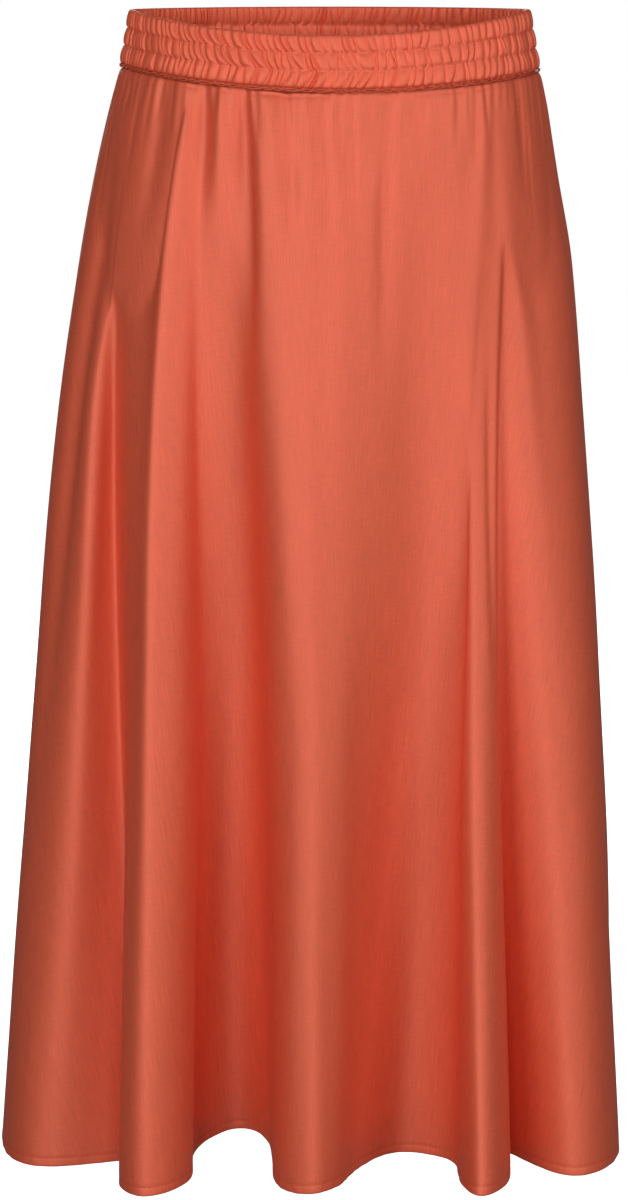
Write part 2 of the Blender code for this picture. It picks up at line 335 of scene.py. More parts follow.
def smooth_line(knots, values, at):
    """Read a smooth line through the values that never overshoots them."""
    knots = np.asarray(knots, float)
    values = np.asarray(values, float)
    widths = np.diff(knots)
    slopes = np.diff(values) / widths
    tangents = np.empty_like(values)
    tangents[0] = slopes[0]
    tangents[-1] = slopes[-1]
    same_way = slopes[:-1] * slopes[1:] > 0
    harmonic = 2 * slopes[:-1] * slopes[1:] / np.where(same_way, slopes[:-1] + slopes[1:], 1)
    tangents[1:-1] = np.where(same_way, harmonic, 0)
    place = np.clip(np.searchsorted(knots, at, side="right") - 1, 0, len(widths) - 1)
    u = (at - knots[place]) / widths[place]
    rise = tangents[place] * u * (1 - u) ** 2 - tangents[place + 1] * u * u * (1 - u)
    rise = widths[place] * rise
    step = u * u * (3 - 2 * u)
    return values[place] * (1 - step) + values[place + 1] * step + rise


def closed_curve(knots, values, at):
    """Read a closed cubic curve through the values, whose knots run from 0 to below 1."""
    count = len(knots)
    widths = np.diff(np.append(knots, 1.0))
    slopes = (np.roll(values, -1) - values) / widths
    system = np.zeros((count, count))
    for i in range(count):
        system[i, i - 1] += widths[i - 1]
        system[i, i] += 2 * (widths[i - 1] + widths[i])
        system[i, (i + 1) % count] += widths[i]
    bends = np.linalg.solve(system, 6 * (slopes - np.roll(slopes, 1)))
    at = np.asarray(at) % 1.0
    i = np.searchsorted(knots, at, side="right") - 1
    j = (i + 1) % count
    h = widths[i]
    a = (np.asarray(knots)[i] + h - at) / h
    b = 1 - a
    bend = ((a ** 3 - a) * bends[i] + (b ** 3 - b) * bends[j]) * h * h / 6
    return a * values[i] + b * values[j] + bend


def column(name):
    """One column of the table of folds."""
    return np.array([getattr(fold, name) for fold in FOLDS], float)


def fold_knots():
    """Share of the way round at which each fold line runs, from its waist and hem spacing."""
    hem = np.stack((column("hem_x"), column("hem_y")), axis=1)
    hem_steps = np.linalg.norm(np.roll(hem, -1, axis=0) - hem, axis=1)
    waist = np.append(column("waist"), FOLDS[0].waist + 360)
    steps = hem_steps / hem_steps.sum() + np.diff(waist) / 360
    return np.concatenate(([0.0], np.cumsum(steps)[:-1])) / steps.sum()


def waist_turn(shares):
    """Degrees round the waist at which the cloth of each share starts."""
    waist = np.append(column("waist"), FOLDS[0].waist + 360)
    laps = np.floor(shares)
    return smooth_line(np.append(fold_knots(), 1), waist, shares - laps) + 360 * laps


def ellipse(angle, left, right, front, back):
    """Points of a closed section that stands differently far out to each side."""
    x_half = np.where(np.cos(angle) < 0, left, right)
    y_half = np.where(np.sin(angle) < 0, front, back)
    return x_half * np.cos(angle), y_half * np.sin(angle)


def dip(angle):
    """1 at the front of the waist, -1 at the back, 0 at the sides."""
    return -np.sign(np.sin(angle)) * np.abs(np.sin(angle)) ** DIP_POWER


def seam_level(angle):
    """Height of the seam between skirt and waistband."""
    return SEAM_LEVEL - SEAM_FRONT_DIP * np.maximum(dip(angle), 0) - SEAM_TILT * np.cos(angle)


def band_top_level(angle):
    """Height of the waistband's top edge."""
    toward_front = dip(angle)
    drop = BAND_FRONT_DIP * np.maximum(toward_front, 0)
    return BAND_TOP - drop + BAND_BACK_RISE * np.maximum(-toward_front, 0)


def swing_share(drop):
    """How much of its swing a fold line has at a share of the way down."""
    early = (drop / SWING_PEAK) ** (SWING_SPAN * SWING_PEAK)
    late = max((1 - drop) / (1 - SWING_PEAK), 0) ** (SWING_SPAN * (1 - SWING_PEAK))
    return early * late


def skirt_grid(shares, drops):
    """Outer points of the skirt, a row for each drop (0 at the seam, 1 at the hem)."""
    knots = fold_knots()
    waist_angle = np.radians(waist_turn(shares))
    hem_x, hem_y, starts, rise, gather, swing, growth = [
        closed_curve(knots, column(name), shares)
        for name in ("hem_x", "hem_y", "starts", "rise", "gather", "swing", "growth")]
    hem = HEM_LEVEL + rise
    swing = np.radians(swing)
    depths = [section.below for section in SECTIONS]
    last = SECTIONS[-1]
    hem_wide = np.where(hem_x < 0, last.left, last.right)
    hem_deep = np.where(hem_y < 0, last.front, last.back)
    hem_angle = np.unwrap(np.arctan2(hem_y / hem_deep, hem_x / hem_wide))
    hem_angle += TAU * np.round((waist_angle[0] - hem_angle[0]) / TAU)
    hem_reach = np.hypot(hem_x / hem_wide, hem_y / hem_deep)
    top = seam_level(waist_angle) - SEAM_GAP
    rows = []
    for drop in drops:
        z = top + (hem - top) * drop
        angle = waist_angle + (hem_angle - waist_angle) * drop + swing * swing_share(drop)
        sides = [smooth_line(depths, [getattr(section, side) for section in SECTIONS], -z)
                 for side in ("left", "right", "front", "back")]
        grown = np.clip((-z - starts) / (-hem - starts), 0, 1) ** growth
        x, y = ellipse(angle, *sides)
        reach = 1 + (hem_reach - 1) * grown
        below = (top - z) / GATHER_PEAK
        push = 1 + gather * below * np.exp(1 - below) / np.hypot(x, y)
        rows.append(np.stack((x * reach * push, y * reach * push, z), axis=1))
    return np.array(rows)


def outward(grid):
    """Unit normals of a grid of points that runs anticlockwise, top row first."""
    around = np.gradient(grid, axis=1)
    down = np.gradient(grid, axis=0)
    normals = np.cross(down, around)
    return normals / np.linalg.norm(normals, axis=2, keepdims=True)


def band_place(angle, share, out):
    """Points on the waistband at a share of its height, moved out from its plain form."""
    wide, deep = [seam + (top - seam) * share for top, seam in zip(BAND_TOP_HALF, BAND_SEAM_HALF)]
    x, y = ellipse(angle, wide + out, wide + out, deep + out, deep + out)
    bottom = seam_level(angle)
    z = bottom + (band_top_level(angle) - bottom) * share
    return np.stack((x, y, z), axis=-1)


# --- Meshes -----------------------------------------------------------------------------

def select_nothing():
    """Deselect everything, because an operator acts on all that is selected."""
    for item in bpy.context.selected_objects:
        item.select_set(False)


def add_object(name, data):
    """An object in the scene that shows this mesh, light or camera."""
    made = bpy.data.objects.new(name, data)
    bpy.context.scene.collection.objects.link(made)
    return made


def cloth_mesh(name, points, faces, flat, material):
    """A smooth mesh piece from points in millimetres, with its flat cut as its UV map."""
    mesh = bpy.data.meshes.new(name)
    mesh.from_pydata((points * MM).tolist(), [], faces.tolist())
    layer = mesh.uv_layers.new(name="flat")
    corners = np.empty(len(mesh.loops), dtype=np.int32)
    mesh.loops.foreach_get("vertex_index", corners)
    layer.data.foreach_set("uv", (flat[corners] * MM).astype(np.float32).ravel())
    mesh.shade_smooth()
    mesh.materials.append(material)
    mesh.validate()
    return add_object(name, mesh)


def grid_faces(rows, columns, start, close_rows, close_columns, flip=False):
    """Quads over a grid of numbered points."""
    i = np.arange(rows if close_rows else rows - 1)
    j = np.arange(columns if close_columns else columns - 1)
    i, j = np.meshgrid(i, j, indexing="ij")
    below = (i + 1) % rows
    beside = (j + 1) % columns
    quads = [i * columns + j, below * columns + j, below * columns + beside, i * columns + beside]
    if flip:
        quads.reverse()
    return start + np.stack(quads, axis=-1).reshape(-1, 4)


def sheet_shell(outer, inner):
    """Points and faces of a closed sheet between two grids that are open on all sides."""
    rows, columns = outer.shape[:2]
    count = rows * columns
    faces = [
        grid_faces(rows, columns, 0, False, False),
        grid_faces(rows, columns, count, False, False, flip=True),
    ]
    index = np.arange(count).reshape(rows, columns)
    border = np.concatenate((index[0, ::-1], index[1:, 0], index[-1, 1:], index[-2:0:-1, -1]))
    onward = np.roll(border, -1)
    faces.append(np.stack((border, border + count, onward + count, onward), axis=1)[:, ::-1])
    points = np.concatenate((outer.reshape(-1, 3), inner.reshape(-1, 3)))
    return points, np.concatenate(faces)


def hand_over(piece, slot, *nodes):
    """Let a piece ride on the body and stand for its solids. The slot is not used."""
    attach(piece, BODY)
    if nodes:
        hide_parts(*nodes)


# --- Materials --------------------------------------------------------------------------

class Value:
    """A shader socket that Python's operators can reckon with."""

    def __init__(self, graph, socket):
        self.graph = graph
        self.socket = socket

    def __add__(self, other):
        return self.graph.maths("ADD", self, other)

    def __radd__(self, other):
        return self.graph.maths("ADD", other, self)

    def __sub__(self, other):
        return self.graph.maths("SUBTRACT", self, other)

    def __rsub__(self, other):
        return self.graph.maths("SUBTRACT", other, self)

    def __mul__(self, other):
        return self.graph.maths("MULTIPLY", self, other)

    def __rmul__(self, other):
        return self.graph.maths("MULTIPLY", other, self)

    def __truediv__(self, other):
        return self.graph.maths("DIVIDE", self, other)

    def __rtruediv__(self, other):
        return self.graph.maths("DIVIDE", other, self)


class Graph:
    """The nodes of one material."""

    def __init__(self, name):
        self.material = bpy.data.materials.new(name)
        self.material.use_nodes = True
        self.tree = self.material.node_tree
        self.shader = self.tree.nodes["Principled BSDF"]

    def node(self, kind, settings=None, **values):
        """Add a node: its settings first, then the values or links of its sockets."""
        made = self.tree.nodes.new("ShaderNode" + kind)
        for key, value in (settings or {}).items():
            setattr(made, key, value)
        for key, value in values.items():
            self.feed(made, key, value)
        return made

    def feed(self, node, name, value):
        """Set or link one input socket, named or numbered as in input_0."""
        place = int(name[6:]) if name.startswith("input_") else name.replace("_", " ")
        socket = node.inputs[place]
        if isinstance(value, Value):
            self.tree.links.new(value.socket, socket)
        else:
            socket.default_value = value

    def maths(self, operation, first, second):
        made = self.node("Math", {"operation": operation}, input_0=first, input_1=second)
        return Value(self, made.outputs[0])

    def read(self, node, name):
        return Value(self, node.outputs[name])

    def colour(self, plain, shade):
        """Colour the surface with one plain colour, made darker or paler by a shade."""
        grey = self.node("CombineColor", Red=shade, Green=shade, Blue=shade)
        tint = self.node("Mix", {"data_type": "RGBA", "blend_type": "MULTIPLY"}, Factor=1.0,
                         input_6=(*plain, 1.0), input_7=self.read(grey, "Color"))
        self.tree.links.new(tint.outputs[2], self.shader.inputs["Base Color"])


def stretched_noise(graph, flat, pattern):
    """Noise drawn out along one thread direction of the flat cut, from 0 to 1."""
    scaled = graph.node("Mapping", {"vector_type": "TEXTURE"}, Vector=flat,
                        Scale=(pattern.across * MM, pattern.along * MM, MM))
    noise = graph.node("TexNoise", {"noise_dimensions": "2D"}, Scale=1.0, Roughness=0.55,
                       Vector=graph.read(scaled, "Vector"), Detail=pattern.detail)
    return graph.read(noise, "Fac")


def satin(name, cloth):
    """Satin woven in two thread directions, with the crumple of that name, and its colour made
    paler as painted light or darker as painted shade by that name's factor.
    """
    graph = Graph(name)
    crumple_and_painted_light = CRUMPLE_AND_PAINTED_LIGHT[name]
    flat_map = graph.node("UVMap", {"uv_map": "flat"})
    flat = graph.read(flat_map, "UV")
    warp, weft, fine_warp, fine_weft, mottle, wrinkle = [
        stretched_noise(graph, flat, pattern)
        for pattern in (WARP, WEFT, FINE_WARP, FINE_WEFT, MOTTLE, WRINKLE)]
    threads = (warp - 0.5) * 0.75 + (weft - 0.5) * 0.4
    fine = (fine_warp - 0.5) + (fine_weft - 0.5)
    shade = 1.0 + threads * cloth.slub + (mottle - 0.5) * cloth.mottle
    # The plain colour times the pale factor: painted light on the ruched band, painted shade on
    # the seam under it
    graph.colour([part * crumple_and_painted_light.pale for part in cloth.colour], shade)
    graph.feed(graph.shader, "Roughness", cloth.roughness + threads * 0.12)
    height = threads * 0.05 + fine * 0.035 + (wrinkle - 0.5) * crumple_and_painted_light.crumple
    bump = graph.node("Bump", Height=height, Distance=MM, Strength=1.0)
    graph.feed(graph.shader, "Normal", graph.read(bump, "Normal"))
    for key, value in (("Specular IOR Level", cloth.shine), ("Specular Tint", SHINE_TINT),
                       ("Metallic", cloth.metal), ("Coat Weight", cloth.coat),
                       ("Coat Roughness", COAT_ROUGHNESS)):
        graph.shader.inputs[key].default_value = value
    return graph.material


def thread(name, cloth):
    """Matt sewing thread, twisted, a little darker than the cloth."""
    graph = Graph(name)
    place = graph.read(graph.node("TexCoord"), "Object")
    twist = graph.read(graph.node("TexNoise", Vector=place, Scale=1800.0, Detail=1.0), "Fac")
    graph.colour(cloth.thread_colour, 0.8 + twist * 0.3)
    graph.feed(graph.shader, "Roughness", 0.5 + twist * 0.2)
    return graph.material


def kept_material(name, make=satin):
    """The material of that name, made once."""
    return bpy.data.materials.get(name) or make(name, bpy.context.scene.skirt_cloth)


# --- The skirt's panels -----------------------------------------------------------------

def fine_gathers():
    """Gathers pushed into the cloth by the waist seam, uneven in place, depth and length."""
    draw = np.random.default_rng(GATHER_SEED)
    steps = draw.uniform(*GATHER_GAPS, FINE_GATHERS)
    turns = 180 + 360 * np.cumsum(steps) / steps.sum()
    rows = []
    for turn in turns:
        ends = GATHER_ENDS + GATHER_LONGER * draw.exponential()
        depth = draw.uniform(*GATHER_DEPTH)
        drift = draw.normal(0, GATHER_DRIFT)
        width = draw.uniform(*GATHER_WIDTH)
        rows.append(Crease(turn, turn + drift, 20, ends, 0, width, -depth))
    return rows


def ramp(value):
    """A soft step from 0 to 1."""
    value = np.clip(value, 0, 1)
    return value * value * (3 - 2 * value)


def crease_relief(grid, turns):
    """How far the creases push each point of the cloth out, in millimetres."""
    steps = np.linalg.norm(np.diff(grid, axis=1), axis=2)
    arc = np.concatenate((np.zeros((len(grid), 1)), np.cumsum(steps, axis=1)), axis=1)
    below = -grid[..., 2]
    middle = len(turns) // 2
    relief = np.zeros(grid.shape[:2])
    for crease in (*CREASES, *fine_gathers()):
        lap = 360 * round((turns[middle] - crease.turn_top) / 360)
        if not turns[0] - SIDE_REACH < crease.turn_top + lap < turns[-1] + SIDE_REACH:
            continue
        way = (below[:, middle] - crease.starts) / (crease.ends - crease.starts)
        for row in np.flatnonzero((way > -0.3) & (way < 1.3)):
            at = np.clip(way[row], 0, 1)
            turn = crease.turn_top + lap + (crease.turn_end - crease.turn_top) * at
            turn += crease.bow * math.sin(math.pi * at)
            centre = np.interp(turn, turns, arc[row])
            beyond = turn - np.clip(turn, turns[0], turns[-1])
            centre += beyond * arc[row, -1] / (turns[-1] - turns[0])
            here = (below[row] - crease.starts) / (crease.ends - crease.starts)
            start = 1 if crease.starts < NEAR_SEAM else ramp(here / FADE_IN)
            fade = start * ramp((1 - here) / FADE_OUT)
            across = (arc[row] - centre) / crease.width
            relief[row] += crease.depth * fade * np.exp(-across * across / 2)
    return relief


def drape_relief(grid, turns):
    """Slow, shallow unevenness of hanging cloth, drawn out down its length."""
    draw = np.random.default_rng(DRAPE_SEED)
    relief = np.zeros(grid.shape[:2])
    below = -grid[..., 2]
    for _ in range(DRAPE_WAVES):
        round_waves = draw.integers(*DRAPE_ROUND)
        down_wave = draw.uniform(*DRAPE_DOWN)
        phase = draw.uniform(0, TAU, 2)
        swing = np.sin(TAU * below / down_wave + phase[1])
        wave = np.sin(np.radians(turns) * round_waves + phase[0] + swing)
        relief += DRAPE_SIZE / round_waves * wave
    return relief * ramp((below - DRAPE_STARTS) / DRAPE_GROWS)


def hem_relief(grid, turns, hem_edge):
    """The stitched line above the hem, and the small puckers that it draws."""
    draw = np.random.default_rng(HEM_SEED)
    above = grid[..., 2] - hem_edge
    line = np.exp(-((above - HEM_STITCH_ABOVE) / HEM_LINE_WIDTH) ** 2)
    pucker = np.zeros(len(turns))
    for waves in HEM_PUCKER_WAVES:
        pucker += draw.uniform(0.5, 1) * np.sin(np.radians(turns) * waves + draw.uniform(0, TAU))
    band = ramp((HEM_BAND - above) / HEM_BAND)
    return -HEM_LINE * line + HEM_PUCKER * pucker * band * (1 - 0.7 * line)


def panel_drops():
    """Share of the way down of each row, closer together at the waist and at the hem."""
    even = np.linspace(0, 1, PANEL_ROWS)
    eased = even - 0.5 * np.sin(TAU * even) / TAU
    band = HEM_BAND / (SEAM_LEVEL - HEM_LEVEL)
    return np.concatenate((eased * (1 - band), 1 - band * np.linspace(1, 0, HEM_ROWS + 1)[1:]))


def panel_cut(columns, reach):
    """The flat cut's place of each point: a sector of a ring, on its own straight grain."""
    sweep = (CUT_HEM - CUT_TOP) / CUT_LENGTH
    radius = CUT_TOP / sweep + reach[:, None]
    angle = (np.linspace(0, 1, columns) - 0.5) * sweep
    return np.stack((radius * np.sin(angle), -radius * np.cos(angle)), axis=-1).reshape(-1, 2)


def cloth_surface(shares, drops):
    """The cloth's outer face with all its creases, for columns at these shares."""
    turns = waist_turn(shares)
    grid = skirt_grid(shares, drops)
    hem_edge = HEM_LEVEL + closed_curve(fold_knots(), column("rise"), shares)
    relief = crease_relief(grid, turns) + drape_relief(grid, turns)
    relief += hem_relief(grid, turns, hem_edge)
    below_seam = seam_level(np.radians(turns)) - grid[..., 2]
    relief -= SEAM_TUCK * np.exp(-(below_seam / SEAM_TUCK_HEIGHT) ** 2)
    return grid + outward(grid) * relief[..., None]


def turned_hem(face):
    """Rows of the cloth that folds round the hem's edge and runs up inside it."""
    inward = -outward(face)
    down = face[-1] - face[-2]
    down /= np.linalg.norm(down, axis=1, keepdims=True)
    rows = []
    for angle in np.linspace(0, math.pi, HEM_FOLD_STEPS + 1)[1:]:
        round_in = inward[-1] * (1 - math.cos(angle)) + down * math.sin(angle)
        rows.append(face[-1] + round_in * HEM_FOLD)
    for rise in np.linspace(0, HEM_TURN, HEM_TURN_STEPS + 1)[1:]:
        place = len(face) - 1 - rise / HEM_BAND * HEM_ROWS
        low = int(place)
        level = face[low] * (1 - place + low) + face[low + 1] * (place - low)
        rows.append(level + inward[low] * 2 * HEM_FOLD)
    return np.array(rows)


def panel(name, first, last, material):
    """One sheet of satin from seam to seam, with its hem turned up inside."""
    face = cloth_surface(np.linspace(first, last, PANEL_COLUMNS), panel_drops())
    middle = np.concatenate((face, turned_hem(face)))
    inner = middle - outward(middle) * CLOTH
    points, faces = sheet_shell(middle, inner)
    length = np.linalg.norm(np.diff(middle, axis=0), axis=2).mean(axis=1)
    cut = panel_cut(PANEL_COLUMNS, np.concatenate(([0], np.cumsum(length))))
    return cloth_mesh(name, points, faces, np.concatenate((cut, cut)), material)


def side_seam(name, share, material):
    """The seam allowance behind a side seam, which closes the slit between the panels."""
    shares = share + np.linspace(-ALLOWANCE_SHARE, ALLOWANCE_SHARE, ALLOWANCE_COLUMNS)
    drops = np.linspace(0, ALLOWANCE_END, ALLOWANCE_ROWS)
    face = cloth_surface(shares, drops)
    normals = outward(face)
    outer = face - normals * ALLOWANCE_INSET
    inner = outer - normals * CLOTH
    points, faces = sheet_shell(outer, inner)
    width = np.linspace(-1, 1, ALLOWANCE_COLUMNS) * ALLOWANCE_SHARE * 2 * CUT_HEM
    cut = np.stack(np.meshgrid(width, -drops * CUT_LENGTH), axis=-1).reshape(-1, 2)
    return cloth_mesh(name, points, faces, np.concatenate((cut, cut)), material)


# --- The waistband ----------------------------------------------------------------------

def line_shift(turns, line):
    """How far round, in degrees, a stitched line's gathers lie past those of the top edge."""
    if line == "top":
        return np.zeros(len(turns))
    places = [(slant.turn - 180) / 360 for slant in SLANTS]
    shift = closed_curve(np.array(places), np.array([getattr(slant, line) for slant in SLANTS]),
                         (turns - 180) / 360)
    return np.degrees(shift / WAIST_RADIUS)


def ruche_turns(draw):
    """Turns round the waist at which each gather starts, above and below each channel."""
    toward = np.linspace(180 - RUCHE_WIDEST, 540 - RUCHE_WIDEST, RUCHES)
    steps = draw.uniform(*RUCHE_GAPS, RUCHES)
    steps = steps * (1 + RUCHE_WIDER * np.cos(np.radians(toward)))
    even = 180 + 360 * np.cumsum(steps) / steps.sum()
    pitch = 360 / RUCHES
    lines = {}
    for side in ("outer", "inner"):
        for channel, (above, below) in enumerate(zip(BAND_LINES, BAND_LINES[1:])):
            for end, line in (("above", above), ("below", below)):
                jitter = draw.normal(0, RUCHE_SPREAD * pitch, RUCHES)
                moved = even + line_shift(even, line) + jitter * np.minimum(steps, 1)
                lines[side, channel, end] = np.maximum.accumulate(moved + np.arange(RUCHES) * 1e-3)
        lines[side, 0, "above"] = even
    return lines


def band_profile():
    """Rows once round the band's section, from the top of its outer face: which side, which
    channel, how far down it, share of the height, how far out, and how strong its gathers."""
    Row = namedtuple("Row", "side channel down share out strength")
    height = BAND_TOP - SEAM_LEVEL
    bead = BEAD_HEIGHT / height
    tall = (1 - bead) / CHANNELS
    rows = []
    for side, steps, sign in (("outer", CHANNEL_STEPS, 1), ("inner", INNER_STEPS, -1)):
        face = []
        for channel in range(CHANNELS):
            for down in np.linspace(0, 1, steps, endpoint=channel == CHANNELS - 1):
                way = FOLD_START + (1 - FOLD_START) * down if channel == 0 else down
                swell = max(math.sin(math.pi * way ** CHANNEL_SAG), 0) ** CHANNEL_ROUNDNESS
                top = 1 - FOLD_HEIGHT / height if channel == 0 else 1 - channel * tall
                share = top + (1 - (channel + 1) * tall - top) * down
                plain = 0 if side == "outer" else -BAND_WALL
                bulge = CHANNEL_BULGE if side == "outer" else INNER_BULGE
                face.append(Row(side, channel, down, share, plain + sign * bulge * swell,
                                sign * (0.35 + 0.65 * max(swell, down ** 3))))
        recess = SEAM_RECESS if side == "outer" else BAND_WALL
        foot = Row(side, CHANNELS - 1, 1.0, 0.0, -recess, 0)
        if side == "outer":
            face.append(foot._replace(share=bead * 0.8))
        face.append(foot)
        rows.extend(face if side == "outer" else reversed(face))
    start, end = rows[0], rows[-1]
    middle = (start.out + end.out) / 2
    half = (start.out - end.out) / 2
    for angle in np.linspace(math.pi, 0, FOLD_STEPS + 2)[1:-1]:
        share = start.share + (1 - start.share) * math.sin(angle)
        side = "inner" if math.cos(angle) < 0 else "outer"
        rows.append(Row(side, 0, 0.0, share, middle + half * math.cos(angle),
                        start.strength * math.cos(angle)))
    return rows


def waistband(name, material):
    """One ring of cloth, ruched in channels between stitched lines, outside and inside."""
    draw = np.random.default_rng(RUCHE_SEED)
    lines = ruche_turns(draw)
    part = np.array(RUCHE_LINES)
    skew = draw.uniform(*RUCHE_SKEW, (RUCHES, 1))
    shape = np.sin(math.pi * part[None] ** skew) ** RUCHE_POWER
    lift = {key: draw.uniform(*RUCHE_LIFT, (RUCHES, 1)) for key in
            [(side, channel) for side in ("outer", "inner") for channel in range(CHANNELS)]}
    rows = []
    cut = []
    for row in band_profile():
        above = lines[row.side, row.channel, "above"]
        below = lines[row.side, row.channel, "below"]
        starts = above + (below - above) * row.down ** RUCHE_BEND
        widths = np.diff(np.append(starts, starts[0] + 360))
        turns = (starts[:, None] + widths[:, None] * part[None]).ravel()
        height = (shape * lift[row.side, row.channel]).ravel() - 0.5
        out = row.out + RUCHE_HEIGHT * row.strength * height
        rows.append(band_place(np.radians(turns), row.share, out))
        cut.append(np.stack((turns / 360 * BAND_CUT[0], np.full(len(turns), 0.0)), axis=-1))
    grid = np.array(rows)
    steps = np.linalg.norm(np.diff(grid, axis=0), axis=2).mean(axis=1)
    flat = np.array(cut)
    flat[..., 1] = -np.concatenate(([0], np.cumsum(steps)))[:, None]
    faces = grid_faces(len(grid), grid.shape[1], 0, True, True)
    return cloth_mesh(name, grid.reshape(-1, 3), faces, flat.reshape(-1, 2), material)


def seam_rope(name, material):
    """The puckered seam under the band: two twisted strands, uneven in their twist."""
    draw = np.random.default_rng(TWIST_SEED)
    around = np.linspace(0, TAU, STRAND_STEPS, endpoint=False)
    share = BEAD_HEIGHT / 2 / (BAND_TOP - SEAM_LEVEL)
    base = band_place(math.pi + around, share, 0.0)
    out = band_place(math.pi + around, share, 1.0) - base
    turns = round(TAU * WAIST_RADIUS / TWIST_PITCH)
    wander = sum(draw.uniform(0.1, 0.3) * np.sin(around * waves + draw.uniform(0, TAU))
                 for waves in TWIST_WAVES)
    up = np.array((0.0, 0.0, 1.0))
    points = []
    faces = []
    cuts = []
    for strand in range(2):
        twist = turns * around + wander * TWIST_WANDER + strand * math.pi
        strong = 0.85 + 0.25 * np.cos(around - 0.3)
        radius = STRAND_RADIUS * strong * (1 + 0.12 * np.sin(around * 37 + strand))
        centre = base + out * (TWIST_OUT + TWIST_RADIUS * 0.6 * np.cos(twist))[:, None]
        centre = centre + up * (TWIST_RADIUS * np.sin(twist) - TWIST_DROP)[:, None]
        rows = []
        for side in range(STRAND_SIDES):
            angle = TAU * side / STRAND_SIDES
            rows.append(centre + out * (radius * math.cos(angle))[:, None]
                        + up * (radius * math.sin(angle))[:, None])
        rows.reverse()
        points.append(np.array(rows).reshape(-1, 3))
        start = strand * STRAND_SIDES * STRAND_STEPS
        faces.append(grid_faces(STRAND_SIDES, STRAND_STEPS, start, True, True))
        length = around / TAU * BAND_CUT[0]
        cuts.append(np.array([np.stack((length, np.full(STRAND_STEPS, side * 0.7)), axis=-1)
                              for side in range(STRAND_SIDES)]).reshape(-1, 2))
    return cloth_mesh(name, np.concatenate(points), np.concatenate(faces),
                      np.concatenate(cuts), material)


# --- Stitches ---------------------------------------------------------------------------

def stitch_form(length):
    """One stitch, modelled as a short round thread whose ends dip into the cloth."""
    select_nothing()
    bpy.ops.mesh.primitive_uv_sphere_add(segments=6, ring_count=5, radius=1.0)
    form = bpy.context.object
    bpy.ops.object.mode_set(mode="EDIT")
    bpy.ops.mesh.select_all(action="SELECT")
    bpy.ops.transform.resize(value=(STITCH_RADIUS, STITCH_RADIUS, length / 2))
    bpy.ops.object.mode_set(mode="OBJECT")
    form.data.name = "stitch_form"
    points = np.array([vertex.co for vertex in form.data.vertices])
    faces = [tuple(face.vertices) for face in form.data.polygons]
    bpy.data.objects.remove(form, do_unlink=True)
    return points, faces


def stitch_line(name, lines, length, material):
    """Stitches of one length along closed or open lines, as (middles, directions, outward)."""
    form, form_faces = stitch_form(length)
    points = []
    faces = []
    for middles, along, out in lines:
        side = np.cross(along, out)
        for k in range(len(middles)):
            start = len(points) * len(form)
            turned = form[:, :1] * side[k] + form[:, 1:2] * out[k] + form[:, 2:] * along[k]
            points.append(turned + middles[k])
            faces.extend(tuple(start + corner for corner in face) for face in form_faces)
    mesh = bpy.data.meshes.new(name)
    mesh.from_pydata((np.concatenate(points) * MM).tolist(), [], faces)
    mesh.shade_smooth()
    mesh.materials.append(material)
    return add_object(name, mesh)


def spaced(line, pitch, closed):
    """Points spaced evenly along a line, with the direction of the line at each."""
    if closed:
        line = np.concatenate((line, line[:1]))
    steps = np.linalg.norm(np.diff(line, axis=0), axis=1)
    arc = np.concatenate(([0], np.cumsum(steps)))
    at = (np.arange(int(arc[-1] / pitch)) + 0.5) * pitch
    ahead = np.minimum(at + pitch * 0.3, arc[-1])
    middles = np.stack([np.interp(at, arc, line[:, axis]) for axis in range(3)], axis=1)
    onward = np.stack([np.interp(ahead, arc, line[:, axis]) for axis in range(3)], axis=1)
    along = onward - middles
    return middles, along / np.linalg.norm(along, axis=1, keepdims=True)


def hem_stitches(name, material):
    """The line of stitches that holds the turned hem, on both panels."""
    share = HEM_STITCH_ABOVE / (SEAM_LEVEL - HEM_LEVEL)
    drops = 1 - share + np.array((-1.0, 0.0, 1.0)) * HEM_STITCH_STEP
    lines = []
    for first, last in panel_spans():
        face = cloth_surface(np.linspace(first, last, HEM_STITCH_COLUMNS), drops)
        out = outward(face)[1]
        middles, along = spaced(face[1] + out * STITCH_RADIUS * 0.6, HEM_STITCH_PITCH, False)
        normal = np.stack([np.interp(np.linspace(0, 1, len(middles)), np.linspace(0, 1, len(out)),
                                     out[:, axis]) for axis in range(3)], axis=1)
        lines.append((middles, along, normal))
    return stitch_line(name, lines, HEM_STITCH, material)


def channel_stitches(name, material):
    """The lines of stitches between the waistband's channels, outside and inside."""
    height = BAND_TOP - SEAM_LEVEL
    tall = (1 - BEAD_HEIGHT / height) / CHANNELS
    around = np.linspace(0, TAU, CHANNEL_STITCH_COLUMNS, endpoint=False)
    lines = []
    for channel in (1, 2):
        for out, sign in ((STITCH_RADIUS, 1), (-BAND_WALL - STITCH_RADIUS, -1)):
            line = band_place(around, 1 - channel * tall, out)
            middles, along = spaced(line, CHANNEL_STITCH_PITCH, True)
            normal = np.stack((middles[:, 0], middles[:, 1] * 1.9, middles[:, 2] * 0), axis=1)
            normal *= sign / np.linalg.norm(normal, axis=1, keepdims=True)
            lines.append((middles, along, normal))
    return stitch_line(name, lines, CHANNEL_STITCH, material)


def panel_spans():
    """Shares at which the front and the back panel start and end."""
    right = fold_knots()[[fold.name for fold in FOLDS].index("right_side")]
    return (0.0, right), (right, 1.0)


# --- The add-on -------------------------------------------------------------------------

